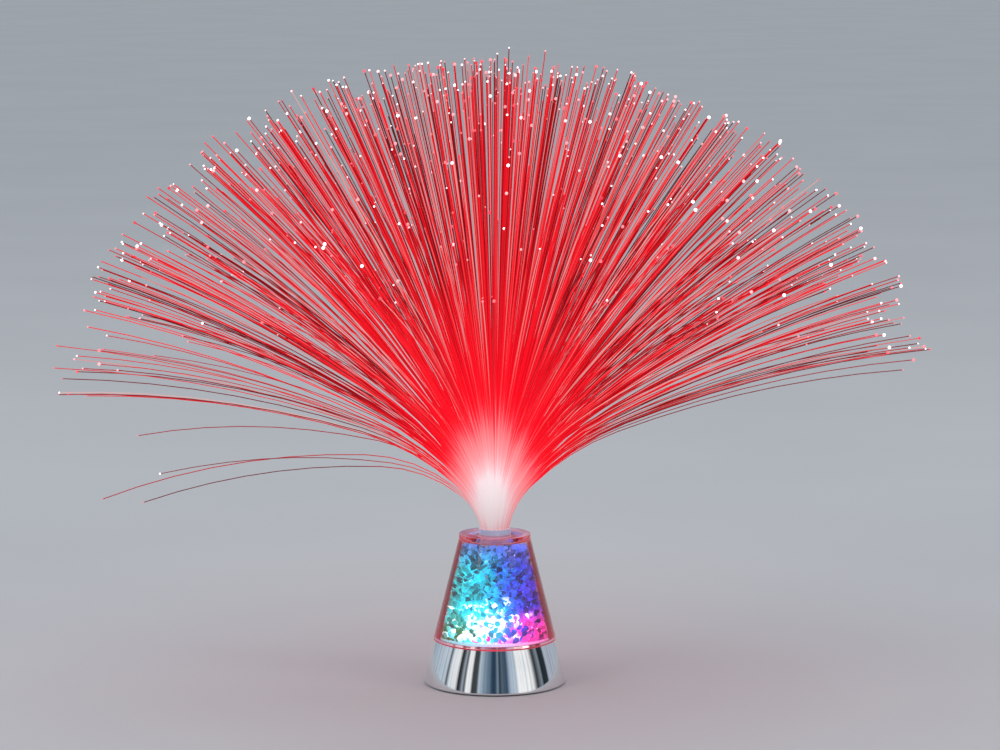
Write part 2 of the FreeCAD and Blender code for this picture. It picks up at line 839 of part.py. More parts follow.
export("ferrule", make_ferrule())
export("bundle_core", make_bundle_core())
groups = ("core", "inner", "middle", "outer")
for group, name in enumerate(groups):
    first = inner_fibre_count * group // len(groups)
    last = inner_fibre_count * (group + 1) // len(groups)
    export("fibres_" + name, make_inner_fibres(first, last))
export("fibres_rim", make_rim_fibres())
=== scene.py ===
import math
import random

import bpy
from mathutils import Euler, Matrix, Vector


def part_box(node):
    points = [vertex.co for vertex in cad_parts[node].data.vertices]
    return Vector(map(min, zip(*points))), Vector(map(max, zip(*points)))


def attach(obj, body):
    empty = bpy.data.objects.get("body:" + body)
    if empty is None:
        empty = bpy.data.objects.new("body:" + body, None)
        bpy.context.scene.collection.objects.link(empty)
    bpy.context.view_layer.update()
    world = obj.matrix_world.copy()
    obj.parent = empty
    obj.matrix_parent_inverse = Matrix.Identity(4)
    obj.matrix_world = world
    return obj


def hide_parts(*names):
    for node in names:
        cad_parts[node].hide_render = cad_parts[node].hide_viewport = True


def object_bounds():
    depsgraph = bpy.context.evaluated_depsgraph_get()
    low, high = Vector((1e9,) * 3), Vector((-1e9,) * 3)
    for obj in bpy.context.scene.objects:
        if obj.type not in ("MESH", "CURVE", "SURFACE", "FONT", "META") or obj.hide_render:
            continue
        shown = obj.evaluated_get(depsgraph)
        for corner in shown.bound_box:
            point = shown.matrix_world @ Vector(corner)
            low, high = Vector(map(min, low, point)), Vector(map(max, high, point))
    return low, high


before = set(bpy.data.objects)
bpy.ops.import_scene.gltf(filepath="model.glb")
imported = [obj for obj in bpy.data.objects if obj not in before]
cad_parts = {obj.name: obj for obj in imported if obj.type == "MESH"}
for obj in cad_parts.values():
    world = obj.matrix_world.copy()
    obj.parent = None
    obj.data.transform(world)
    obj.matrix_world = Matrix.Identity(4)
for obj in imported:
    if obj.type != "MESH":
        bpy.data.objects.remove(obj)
cad_low, cad_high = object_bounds()

# ---- Camera ----
# A long lens two metres off, a little above the lamp's top and tilted down to its middle.
# One of the render's 1000 columns covers 0.564 mm at the lamp's axis.

mm = 0.001
camera_distance = 2.0
camera_elevation = math.radians(7.7)
aim = Vector((3.0, 0.0, 176.5)) * mm
frame_width = 564.2 * mm
sensor_width = 36.0

camera_data = bpy.data.cameras.new("camera")
camera_data.sensor_width = sensor_width
camera_data.lens = sensor_width * camera_distance / frame_width
camera_data.clip_end = 200.0
camera = bpy.data.objects.new("camera", camera_data)
bpy.context.scene.collection.objects.link(camera)
away = Vector((0.0, -math.cos(camera_elevation), math.sin(camera_elevation)))
camera.location = aim + away * camera_distance
camera.rotation_euler = (math.pi / 2 - camera_elevation, 0.0, 0.0)
bpy.context.scene.camera = camera

# ---- Studio ----
# A pale matt floor that runs out of sight, three soft boxes, and a grey room.
# Upright light and dark panels stand round the walls, because chrome shows nothing but its room.


def linear(code):
    """sRGB hex colour as linear RGBA."""
    channels = [int(code[i:i + 2], 16) / 255 for i in (0, 2, 4)]
    return tuple(c / 12.92 if c <= 0.04045 else ((c + 0.055) / 1.055) ** 2.4 for c in channels) + (1.0,)


def add(tree, kind, values=None, links=None, stops=None, **settings):
    """Add a node: values and links go to its sockets by name, stops to its colour ramp."""
    made = tree.nodes.new(kind)
    for name, value in settings.items():
        setattr(made, name, value)
    for socket, value in (values or {}).items():
        made.inputs[socket].default_value = value
    for socket, output in (links or {}).items():
        tree.links.new(output, made.inputs[socket])
    if stops:
        ramp = made.color_ramp.elements
        while len(ramp) < len(stops):
            ramp.new(0.5)
        for element, (place, colour) in zip(ramp, stops):
            element.position = place
            element.color = linear(colour)
    return made


def new_material(name, **settings):
    """Material with one Principled shader. Settings are the shader's constant sockets."""
    material = bpy.data.materials.new(name)
    material.use_nodes = True
    tree = material.node_tree
    tree.nodes.clear()
    shader = add(tree, "ShaderNodeBsdfPrincipled")
    for socket, value in settings.items():
        shader.inputs[socket.replace("_", " ")].default_value = value
    add(tree, "ShaderNodeOutputMaterial", links={"Surface": shader.outputs["BSDF"]})
    return material, tree, shader


def feed(shader, **outputs):
    """Link outputs to the shader's sockets."""
    for socket, output in outputs.items():
        shader.id_data.links.new(output, shader.inputs[socket.replace("_", " ")])


def place_in(tree, grain):
    """Object coordinates scaled so that one unit is the grain's size in millimetres."""
    coordinates = add(tree, "ShaderNodeTexCoord")
    size = 1.0 / (grain * mm)
    mapping = add(tree, "ShaderNodeMapping", {"Scale": (size, size, size)},
                  {"Vector": coordinates.outputs["Object"]})
    return mapping.outputs["Vector"]


bpy.context.scene.view_settings.view_transform = "Standard"

floor_reach = 60.0
bpy.ops.object.select_all(action="DESELECT")
bpy.ops.mesh.primitive_plane_add(size=2 * floor_reach)
floor = bpy.context.object
floor.name = "floor"
floor_paint, tree, shader = new_material("matt floor paint", Roughness=0.9, Specular_IOR_Level=0.15)
mottle = add(tree, "ShaderNodeTexNoise", {"Scale": 1.0, "Detail": 2.0}, {"Vector": place_in(tree, 300.0)})
tint = add(tree, "ShaderNodeValToRGB", links={"Fac": mottle.outputs["Fac"]},
           stops=[(0.3, "d0d2d4"), (0.7, "d4d6d8")])
feed(shader, Base_Color=tint.outputs["Color"])
from_below = add(tree, "ShaderNodeNewGeometry")
solid = add(tree, "ShaderNodeMath", {0: 1.0}, {1: from_below.outputs["Backfacing"]}, operation="SUBTRACT")
feed(shader, Alpha=solid.outputs[0])
floor.data.materials.append(floor_paint)

white, pale, steel = "ffffff", "c3d0dc", "869aac"
slate, navy, black = "464a4d", "34485e", "171d24"
panel_bearings = (
    (-180, steel), (-108, pale), (-93, pale), (-89, slate), (-84, "dfe5ec"), (-68, white), (-65, black),
    (-60, slate), (-56, "a3acb7"), (-52, slate), (-49, white), (-42, white), (-38, slate), (-30, slate),
    (-27, pale), (-18, steel), (-8, "5e7488"), (-5, navy), (2, navy), (5, steel), (8, black), (12, "5d6f80"),
    (21, navy), (25, "a9b8cb"), (38, pale), (40, white), (66, white), (76, "20272d"), (86, "88929a"),
    (90, "20272d"), (101, "323b42"), (104, "b4bbc9"),
)
room = bpy.data.worlds.new("room")
bpy.context.scene.world = room
room.use_nodes = True
tree = room.node_tree
tree.nodes.clear()
direction = add(tree, "ShaderNodeTexCoord")
axes = add(tree, "ShaderNodeSeparateXYZ", links={"Vector": direction.outputs["Generated"]})
towards = add(tree, "ShaderNodeMath", {1: -1.0}, {0: axes.outputs["Y"]}, operation="MULTIPLY")
bearing = add(tree, "ShaderNodeMath", links={0: axes.outputs["X"], 1: towards.outputs[0]},
              operation="ARCTAN2")
turn = add(tree, "ShaderNodeMapRange", {"From Min": -math.pi, "From Max": math.pi},
           {"Value": bearing.outputs[0]})
panels = add(tree, "ShaderNodeValToRGB", links={"Fac": turn.outputs["Result"]},
             stops=[((angle + 180) / 360, tone) for angle, tone in panel_bearings])
grooves = add(tree, "ShaderNodeTexNoise", {"Scale": 13.0, "Detail": 3.0}, {"W": bearing.outputs[0]},
              noise_dimensions="1D")
slats = add(tree, "ShaderNodeMapRange", {"From Min": 0.35, "From Max": 0.55, "To Min": 0.72, "To Max": 1.0},
            {"Value": grooves.outputs["Fac"]})
slatted = add(tree, "ShaderNodeVectorMath",
              links={0: panels.outputs["Color"], "Scale": slats.outputs["Result"]}, operation="SCALE")
ceiling = add(tree, "ShaderNodeMapRange", {"From Min": 0.62, "From Max": 0.80}, {"Value": axes.outputs["Z"]})
walls = add(tree, "ShaderNodeMix", {"B": linear("d4d7db")},
            {"Factor": ceiling.outputs["Result"], "A": slatted.outputs["Vector"]}, data_type="RGBA")
rays = add(tree, "ShaderNodeLightPath")
backdrop = add(tree, "ShaderNodeMix", {"B": linear("b4b6ba")},
               {"Factor": rays.outputs["Is Camera Ray"], "A": walls.outputs["Result"]}, data_type="RGBA")
glow = add(tree, "ShaderNodeBackground", {"Strength": 1.0}, {"Color": backdrop.outputs["Result"]})
add(tree, "ShaderNodeOutputWorld", links={"Surface": glow.outputs["Background"]})


def soft_box(name, place, size, power):
    """Rectangular light that faces the lamp."""
    light = bpy.data.lights.new(name, "AREA")
    light.shape = "RECTANGLE"
    light.size, light.size_y = size
    light.energy = power
    holder = bpy.data.objects.new(name, light)
    bpy.context.scene.collection.objects.link(holder)
    holder.location = place
    holder.rotation_euler = (aim - Vector(place)).to_track_quat("-Z", "Y").to_euler()
    holder.visible_camera = False
    holder.visible_glossy = False


soft_box("soft_box_left", (-1.6, -1.2, 1.6), (1.0, 1.4), 7.0)
soft_box("soft_box_right", (1.8, -0.8, 1.3), (0.6, 1.4), 3.0)
soft_box("soft_box_top", (0.0, 0.5, 2.4), (1.8, 1.8), 7.0)

# ---- Base shell ----
# Conical ABS moulding, chrome plated: it carries the cup on its stepped deck and hides the battery box.
# Plating over a polished moulding gives a mirror with the faintest unevenness.


def raise_rings(name, rings, sides):
    """Round piece drawn up from a circle: each (radius, level) ring, in mm, is extruded from the last."""
    bpy.ops.object.select_all(action="DESELECT")
    radius, level = rings[0]
    bpy.ops.mesh.primitive_circle_add(vertices=sides, radius=radius * mm)
    piece = bpy.context.object
    piece.name = name
    bpy.ops.object.mode_set(mode="EDIT")
    bpy.ops.mesh.select_mode(type="VERT")
    bpy.ops.mesh.select_all(action="SELECT")
    bpy.ops.transform.translate(value=(0, 0, level * mm))
    for next_radius, next_level in rings[1:]:
        rise = (next_level - level) * mm
        bpy.ops.mesh.extrude_region_move(TRANSFORM_OT_translate={"value": (0, 0, rise)})
        grow = next_radius / radius
        bpy.ops.transform.resize(value=(grow, grow, 1.0))
        radius, level = next_radius, next_level
    bpy.ops.mesh.select_all(action="SELECT")
    bpy.ops.mesh.remove_doubles(threshold=0.002 * mm)
    bpy.ops.mesh.fill_holes(sides=0)
    bpy.ops.mesh.normals_make_consistent(inside=False)
    bpy.ops.object.mode_set(mode="OBJECT")
    return piece


def select_only(piece):
    """Select a piece and nothing else, and make it the active one."""
    bpy.ops.object.select_all(action="DESELECT")
    piece.select_set(True)
    bpy.context.view_layer.objects.active = piece


def soften(piece, width, segments=2, angle=30.0):
    """Round the sharp edges of a piece and shade it smooth between them."""
    select_only(piece)
    edges = piece.modifiers.new("rounded edges", "BEVEL")
    edges.width = width * mm
    edges.segments = segments
    edges.limit_method = "ANGLE"
    edges.angle_limit = math.radians(angle)
    bpy.ops.object.modifier_apply(modifier=edges.name)
    bpy.ops.object.mode_set(mode="EDIT")
    bpy.ops.mesh.select_all(action="SELECT")
    bpy.ops.mesh.dissolve_degenerate(threshold=0.003 * mm)
    bpy.ops.object.mode_set(mode="OBJECT")
    bpy.ops.object.shade_smooth_by_angle(angle=math.radians(angle))


round_sides = 160
base_shell = raise_rings("base_shell_chromed", [
    (38.0, 0.8), (40.0, 0.8), (40.0, 1.8), (34.0, 25.3), (31.9, 25.3), (31.9, 26.8), (25.0, 26.8),
    (25.0, 24.8), (32.0, 24.8), (38.0, 0.8),
], round_sides)
soften(base_shell, 0.25)


def join(pieces, name):
    """One piece out of several."""
    bpy.ops.object.select_all(action="DESELECT")
    for piece in pieces:
        piece.select_set(True)
    bpy.context.view_layer.objects.active = pieces[0]
    bpy.ops.object.transform_apply(location=True, rotation=True, scale=True)
    bpy.ops.object.join()
    bpy.context.object.name = name
    return bpy.context.object


def cut_with(piece, other, operation):
    """Boolean with a second shape, which is used up."""
    meeting = piece.modifiers.new("cut", "BOOLEAN")
    meeting.operation = operation
    meeting.object = other
    select_only(piece)
    bpy.ops.object.modifier_apply(modifier=meeting.name)
    bpy.data.objects.remove(other)


def pick_faces(piece, wanted):
    """Select the faces whose normal and centre pass the test, and no others."""
    bpy.ops.object.mode_set(mode="EDIT")
    bpy.ops.mesh.select_mode(type="FACE")
    bpy.ops.mesh.select_all(action="DESELECT")
    bpy.ops.object.mode_set(mode="OBJECT")
    for face in piece.data.polygons:
        face.select = wanted(face.normal, face.center)
    bpy.ops.object.mode_set(mode="EDIT")


corners = ((1, 1), (-1, 1), (-1, -1), (1, -1))
screw_across, screw_along = 18.67, 26.66
screw_places = [(x * screw_across, y * screw_along) for x, y in corners]
boss_radius, pilot_radius, pilot_depth = 3.2, 1.24, 8.0
boss_foot, boss_head = 3.6, 24.9
inside = raise_rings("inside_of_skirt", [(38.0, 0.7), (31.97, boss_head)], 96)
bosses = []
for x, y in screw_places:
    bpy.ops.object.select_all(action="DESELECT")
    bpy.ops.mesh.primitive_cylinder_add(
        vertices=32, radius=boss_radius * mm, depth=(boss_head - boss_foot) * mm,
        location=(x * mm, y * mm, (boss_head + boss_foot) / 2 * mm))
    boss = bpy.context.object
    pick_faces(boss, lambda normal, centre: normal.z < -0.9)
    bpy.ops.mesh.inset(thickness=(boss_radius - pilot_radius) * mm)
    bpy.ops.mesh.extrude_region_move(TRANSFORM_OT_translate={"value": (0, 0, pilot_depth * mm)})
    bpy.ops.object.mode_set(mode="OBJECT")
    bosses.append(boss)
bosses = join(bosses, "screw_bosses")
cut_with(bosses, inside, "INTERSECT")

board_top, board_underside = 21.6, 20.0
arm_place, arm_width, arm_thickness, arm_foot, hook_reach = 31.1, 7.0, 1.2, 19.1, 0.9
stop_place, stop_thickness = 25.9, 2.2
holders = []
for side in (1, -1):
    bpy.ops.object.select_all(action="DESELECT")
    bpy.ops.mesh.primitive_cube_add(
        size=mm, location=(0, side * arm_place * mm, (arm_foot + boss_head) / 2 * mm),
        scale=(arm_width, arm_thickness, boss_head - arm_foot))
    arm = join([bpy.context.object], "board_arm")
    bpy.ops.object.mode_set(mode="EDIT")
    bpy.ops.mesh.select_all(action="SELECT")
    bpy.ops.mesh.bisect(plane_co=(0, 0, board_underside * mm), plane_no=(0, 0, 1))
    pick_faces(arm, lambda normal, centre: normal.y * side < -0.9 and centre.z < board_underside * mm)
    bpy.ops.mesh.extrude_region_move(TRANSFORM_OT_translate={"value": (0, -side * hook_reach * mm, 0)})
    bpy.ops.object.mode_set(mode="OBJECT")
    soften(arm, 0.15)
    bpy.ops.mesh.primitive_cube_add(
        size=mm, location=(0, side * stop_place * mm, (board_top + boss_head) / 2 * mm),
        scale=(arm_width, stop_thickness, boss_head - board_top))
    stop = join([bpy.context.object], "board_stop")
    soften(stop, 0.15)
    holders += [arm, stop]
base_shell = join([base_shell, bosses] + holders, "base_shell_chromed")

chrome, tree, shader = new_material("chrome plated ABS", Metallic=1.0)
haze = add(tree, "ShaderNodeTexNoise", {"Scale": 1.0, "Detail": 3.0}, {"Vector": place_in(tree, 14.0)})
sheen = add(tree, "ShaderNodeMapRange", {"To Min": 0.025, "To Max": 0.085}, {"Value": haze.outputs["Fac"]})
feed(shader, Roughness=sheen.outputs["Result"])
plating = add(tree, "ShaderNodeValToRGB", links={"Fac": haze.outputs["Fac"]},
              stops=[(0.3, "e6e9ec"), (0.7, "f2f4f6")])
feed(shader, Base_Color=plating.outputs["Color"])
peel = add(tree, "ShaderNodeTexNoise", {"Scale": 1.0, "Detail": 1.0}, {"Vector": place_in(tree, 5.0)})
uneven = add(tree, "ShaderNodeBump", {"Strength": 0.12, "Distance": 0.02 * mm},
             {"Height": peel.outputs["Fac"]})
feed(shader, Normal=uneven.outputs["Normal"])
base_shell.data.materials.append(chrome)
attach(base_shell, "base")
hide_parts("base_shell")

# ---- Crystal cup ----
# Clear acrylic moulding: tapered wall, thick at the foot, closed lid, and a tube down the middle.
# The spray's red light, carried by polished acrylic to its edges, is painted: rim and foot glow red,
# and the walls hold a painted red tint and red glow, so thick walls look red.

cavity_foot, cavity_head = (31.5, 26.8), (18.3, 82.5)
cup = raise_rings("crystal_cup_clear", [
    (35.0, 25.3), (20.3, 83.5), (20.3, 86.0), (9.16, 86.0), (9.16, 60.0), (8.16, 60.0), (8.16, 28.3),
    (11.06, 28.3), (11.06, 82.5), cavity_head, cavity_foot, (32.0, 26.8), (32.0, 25.3), (35.0, 25.3),
], round_sides)
soften(cup, 0.22)

clear_acrylic, tree, shader = new_material(
    "polished clear acrylic", Transmission_Weight=1.0, IOR=1.49, Roughness=0.02, Specular_IOR_Level=0.25)
spot = add(tree, "ShaderNodeTexCoord")
axes = add(tree, "ShaderNodeSeparateXYZ", links={"Vector": spot.outputs["Object"]})
# Painted red glow at the foot and the rim, set by height.
painted_glow_height = add(tree, "ShaderNodeMapRange", {"From Max": 100.0 * mm}, {"Value": axes.outputs["Z"]})
edges = add(tree, "ShaderNodeValToRGB", links={"Fac": painted_glow_height.outputs["Result"]}, stops=[
    (0.250, "a01430"), (0.257, "4c0818"), (0.330, "2c0510"), (0.450, "000000"), (0.825, "000000"),
    (0.840, "3c0812"), (0.862, "6c1022"),
])
feed(shader, Emission_Color=edges.outputs["Color"])
shader.inputs["Emission Strength"].default_value = 0.8
wear = add(tree, "ShaderNodeTexNoise", {"Scale": 1.0, "Detail": 2.0}, {"Vector": place_in(tree, 9.0)})
tone = add(tree, "ShaderNodeValToRGB", links={"Fac": wear.outputs["Fac"]},
           stops=[(0.3, "f3f5f8"), (0.7, "ffffff")])
feed(shader, Base_Color=tone.outputs["Color"])
# Painted red light in the walls: a red tint and a red glow inside the acrylic, strongest where walls are
# thick.
depth = add(tree, "ShaderNodeVolumeAbsorption", {"Color": linear("e01038"), "Density": 38.0})
painted_wall_glow = add(tree, "ShaderNodeEmission", {"Color": linear("e8183c"), "Strength": 6.0})
inside = add(tree, "ShaderNodeAddShader", links={0: depth.outputs["Volume"], 1: painted_wall_glow.outputs["Emission"]})
tree.links.new(inside.outputs["Shader"], tree.nodes["Material Output"].inputs["Volume"])
cup.data.materials.append(clear_acrylic)
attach(cup, "base")
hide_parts("crystal_cup")

# ---- Crystal floor ----
# Acrylic disc that lies on the deck and carries the chips.
# Its sanded face spreads the four lights under it, so it glows: cyan on one side, pink on the other.

crystal_floor = raise_rings("crystal_floor_clear", [(30.9, 26.8), (30.9, 28.3)], round_sides)
soften(crystal_floor, 0.2)
sanded_acrylic, tree, shader = new_material(
    "sanded clear acrylic", Transmission_Weight=0.7, IOR=1.49, Roughness=0.25)
spot = add(tree, "ShaderNodeTexCoord")
axes = add(tree, "ShaderNodeSeparateXYZ", links={"Vector": spot.outputs["Object"]})
over = add(tree, "ShaderNodeMapRange", {"From Min": -31.0 * mm, "From Max": 31.0 * mm},
           {"Value": axes.outputs["X"]})
spill = add(tree, "ShaderNodeValToRGB", links={"Fac": over.outputs["Result"]}, stops=[
    (0.05, "1c7c5c"), (0.30, "58d0e4"), (0.55, "b0b4f0"), (0.80, "e85cb0"), (0.95, "a02080"),
])
feed(shader, Emission_Color=spill.outputs["Color"])
sanding = add(tree, "ShaderNodeTexNoise", {"Scale": 1.0, "Detail": 3.0}, {"Vector": place_in(tree, 0.8)})
spread = add(tree, "ShaderNodeMapRange", {"To Min": 0.2, "To Max": 0.8}, {"Value": sanding.outputs["Fac"]})
feed(shader, Emission_Strength=spread.outputs["Result"])
crystal_floor.data.materials.append(sanded_acrylic)
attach(crystal_floor, "base")
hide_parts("crystal_floor")

# ---- Crystal chips ----
# Loose cut chips of clear acrylic, 4 to 5 mm across, that fill the cup between wall and tube.
# The lights below are painted on them as glow: cyan and green on the left, blue and violet on the right,
# magenta low right. Painted facet by facet, chips side by side differ in colour and brightness: white glow
# massed low on the left, and painted dark shade on the dim facets.

chip_radius, chip_spacing = 2.35, 2.9
chip_patterns, chip_drops = 6, 70000
corner_reaches, chip_sizes = (0.62, 1.12), (0.85, 1.15)
chip_stretches = ((0.75, 1.1), (0.85, 1.1), (0.7, 1.0))
fill_low, fill_high = 28.45, 82.35
wall_gap, wall_room, lid_room = 0.15, 0.7, 1.2
tube_radius = 11.2
chips_random = random.Random(11)


def cavity_radius(level):
    """Inner radius of the cup's tapered wall at a level, in mm."""
    (foot_radius, foot_level), (head_radius, head_level) = cavity_foot, cavity_head
    return foot_radius + (level - foot_level) / (head_level - foot_level) * (head_radius - foot_radius)


def press_in(corner):
    """A chip's corner, kept inside the cup's wall and lid, above its floor and outside its tube."""
    level = min(max(corner.z / mm, fill_low), fill_high)
    out = corner.xy.length / mm
    kept = min(max(out, tube_radius), cavity_radius(level) - wall_gap)
    corner.xy *= kept / out
    corner.z = level * mm


patterns = []
for number in range(chip_patterns):
    bpy.ops.object.select_all(action="DESELECT")
    bpy.ops.mesh.primitive_ico_sphere_add(subdivisions=1, radius=chip_radius * mm)
    pattern = bpy.context.object
    for corner in pattern.data.vertices:
        corner.co *= chips_random.uniform(*corner_reaches)
    stretch = [chips_random.uniform(low, high) for low, high in chip_stretches]
    pattern.data.transform(Matrix.Diagonal((*stretch, 1.0)))
    patterns.append(pattern)

centres = []
grid = {}
for drop in range(chip_drops):
    level = chips_random.uniform(fill_low + lid_room, fill_high - lid_room)
    out = math.sqrt(chips_random.uniform((tube_radius + lid_room) ** 2, cavity_radius(fill_low) ** 2))
    around = chips_random.uniform(0.0, 2 * math.pi)
    if out > cavity_radius(level) - wall_room:
        continue
    centre = Vector((out * math.cos(around), out * math.sin(around), level))
    cell = tuple(int(value // chip_spacing) for value in centre)
    near = [other for dx in (-1, 0, 1) for dy in (-1, 0, 1) for dz in (-1, 0, 1)
            for other in grid.get((cell[0] + dx, cell[1] + dy, cell[2] + dz), ())]
    if all((centre - other).length > chip_spacing for other in near):
        grid.setdefault(cell, []).append(centre)
        centres.append(centre)


def own_copy(pattern, place):
    """A copy with its own mesh, which the place matrix moves, turns and sizes."""
    one = pattern.copy()
    one.data = pattern.data.copy()
    one.data.transform(place)
    bpy.context.scene.collection.objects.link(one)
    return one


bpy.ops.object.select_all(action="DESELECT")
for centre in centres:
    pattern = chips_random.choice(patterns)
    tumble = Euler([chips_random.uniform(0.0, 2 * math.pi) for axis in range(3)])
    size = chips_random.uniform(*chip_sizes)
    chip = own_copy(pattern, Matrix.LocRotScale(centre * mm, tumble, Vector((size, size, size))))
    for corner in chip.data.vertices:
        press_in(corner.co)
    chip.select_set(True)
bpy.context.view_layer.objects.active = chip
bpy.ops.object.join()
chips = bpy.context.object
chips.name = "crystal_chips_lit"
for pattern in patterns:
    bpy.data.objects.remove(pattern)

cut_crystal, tree, shader = new_material(
    "cut clear crystal", Roughness=0.12, IOR=1.5, Specular_IOR_Level=0.15)
spot = add(tree, "ShaderNodeTexCoord")
axes = add(tree, "ShaderNodeSeparateXYZ", links={"Vector": spot.outputs["Object"]})
drift = add(tree, "ShaderNodeTexNoise", {"Scale": 1.0, "Detail": 1.0}, {"Vector": place_in(tree, 9.0)})
across = add(tree, "ShaderNodeMapRange", {"From Min": -32.0 * mm, "From Max": 32.0 * mm},
             {"Value": axes.outputs["X"]})
shift = add(tree, "ShaderNodeMath", {1: 0.45, 2: -0.225}, {0: drift.outputs["Fac"]},
            operation="MULTIPLY_ADD")
swayed = add(tree, "ShaderNodeMath", links={0: across.outputs["Result"], 1: shift.outputs[0]},
             operation="ADD")
# Painted light: the lights' colours as glow, set by position across the cup and swayed per chip.
painted_lamp_colour = add(tree, "ShaderNodeValToRGB", links={"Fac": swayed.outputs[0]}, stops=[
    (0.06, "3a9c96"), (0.22, "20cdd4"), (0.44, "1ccff0"),
    (0.57, "2288ee"), (0.72, "3a48e0"), (0.92, "5028c8"),
])
painted_lamp_colour = painted_lamp_colour.outputs["Color"]
island = add(tree, "ShaderNodeNewGeometry")
own_place = add(tree, "ShaderNodeMapRange", {"To Min": -0.38, "To Max": 0.38},
                {"Value": island.outputs["Random Per Island"]})
scattered = add(tree, "ShaderNodeMath", links={0: swayed.outputs[0], 1: own_place.outputs["Result"]},
                operation="ADD")
# More painted light: blue-violet high up, magenta low on the right, dark green low on the left.
for colour, side_none, side_full, level_none, level_full in (
        ("5a6cd0", -2.0, -1.0, 68, 84), ("f040b0", 0.54, 0.70, 47, 37), ("0a6b3a", 0.24, 0.10, 44, 34)):
    beside = add(tree, "ShaderNodeMapRange", {"From Min": side_none, "From Max": side_full},
                 {"Value": scattered.outputs[0]})
    at_level = add(tree, "ShaderNodeMapRange", {"From Min": level_none * mm, "From Max": level_full * mm},
                   {"Value": axes.outputs["Z"]})
    share = add(tree, "ShaderNodeMath", links={0: beside.outputs["Result"], 1: at_level.outputs["Result"]},
                operation="MULTIPLY")
    painted_lamp_colour = add(tree, "ShaderNodeMix", {"B": linear(colour)},
                  {"Factor": share.outputs[0], "A": painted_lamp_colour}, data_type="RGBA").outputs["Result"]
# Painted glints: each facet's glow brightness, whitest in a zone low on the left.
facet = add(tree, "ShaderNodeTexVoronoi", {"Scale": 1.0}, {"Vector": place_in(tree, 3.2)})
facet_light = add(tree, "ShaderNodeSeparateXYZ", links={"Vector": facet.outputs["Color"]})
chance = add(tree, "ShaderNodeMath",
             links={0: facet_light.outputs["X"], 1: island.outputs["Random Per Island"]},
             operation="ADD").outputs[0]
hot_side, hot_level, hot_width, hot_height = -5.0, 38.5, 22.0, 10.5
hot_place = add(tree, "ShaderNodeMapping", {
    "Location": (-hot_side / hot_width, 0.0, -hot_level / hot_height),
    "Scale": (1 / (hot_width * mm), 0.0, 1 / (hot_height * mm)),
}, {"Vector": spot.outputs["Object"]})
hot_distance = add(tree, "ShaderNodeVectorMath", links={0: hot_place.outputs["Vector"]}, operation="LENGTH")
hot_zone = add(tree, "ShaderNodeMapRange", {"From Min": 1.6, "From Max": 0.3, "To Max": 1.05},
               {"Value": hot_distance.outputs["Value"]})
hot = add(tree, "ShaderNodeMath", links={0: hot_zone.outputs["Result"], 1: chance},
          operation="ADD").outputs[0]
whiteness = add(tree, "ShaderNodeMapRange", {"From Min": 1.85, "From Max": 2.20}, {"Value": hot})
painted_glow_and_white = add(tree, "ShaderNodeMix", {"B": linear("f4fdff")},
               {"Factor": whiteness.outputs["Result"], "A": painted_lamp_colour}, data_type="RGBA").outputs["Result"]
feed(shader, Emission_Color=painted_glow_and_white)
sparkle = add(tree, "ShaderNodeMapRange", {"From Min": 0.4, "From Max": 1.75, "To Min": 0.18, "To Max": 1.5},
              {"Value": hot})
feed(shader, Emission_Strength=sparkle.outputs["Result"])
# Painted shade: dim facets get a dark navy base colour.
shade = add(tree, "ShaderNodeMapRange", {"From Min": 1.3, "From Max": 0.7}, {"Value": hot})
painted_dark_facets = add(tree, "ShaderNodeMix", {"B": linear("0c1440")},
           {"Factor": shade.outputs["Result"], "A": painted_glow_and_white}, data_type="RGBA").outputs["Result"]
feed(shader, Base_Color=painted_dark_facets)
chips.data.materials.clear()
chips.data.materials.append(cut_crystal)
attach(chips, "base")
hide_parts("crystal_chips")

# ---- Ferrule and bundle ----
# Translucent polythene collar pressed round the bundle; the fibres are potted in clear resin inside it.
# The cut and polished end of the bundle shows as a field of round fibre ends.

ferrule = raise_rings("ferrule_collar", [
    (8.5, 60.0), (9.1, 60.0), (9.1, 87.6), (9.1, 89.0), (8.5, 89.0), (8.5, 60.0),
], 96)
soften(ferrule, 0.18)
milky_plastic, tree, shader = new_material(
    "milky translucent polythene", Roughness=0.5, Transmission_Weight=0.3, IOR=1.5)
cloud = add(tree, "ShaderNodeTexNoise", {"Scale": 1.0, "Detail": 2.0}, {"Vector": place_in(tree, 6.0)})
milk = add(tree, "ShaderNodeValToRGB", links={"Fac": cloud.outputs["Fac"]},
           stops=[(0.3, "b4bfd4"), (0.7, "ccd2e2")])
# The milky tone is the collar's own colour; it is also painted on as a faint glow.
feed(shader, Base_Color=milk.outputs["Color"], Emission_Color=milk.outputs["Color"])
shader.inputs["Emission Strength"].default_value = 0.2
ferrule.data.materials.append(milky_plastic)
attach(ferrule, "spray")
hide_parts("ferrule")

bundle = raise_rings("bundle_potting", [(8.45, 60.0), (8.45, 88.2), (8.0, 88.9)], 96)
soften(bundle, 0.2)
potted_ends, tree, shader = new_material("potted fibre ends", Roughness=0.15)
spot = add(tree, "ShaderNodeTexCoord")
strand_pitch, strand_run = 0.55, 60.0
strands = add(tree, "ShaderNodeMapping", {
    "Scale": (1 / (strand_pitch * mm), 1 / (strand_pitch * mm), 1 / (strand_run * mm)),
}, {"Vector": spot.outputs["Object"]})
packed = add(tree, "ShaderNodeTexVoronoi", {"Scale": 1.0, "Randomness": 0.35},
             {"Vector": strands.outputs["Vector"]})
ends = add(tree, "ShaderNodeValToRGB", links={"Fac": packed.outputs["Distance"]},
           stops=[(0.30, "fff0f4"), (0.55, "c07a8c")])
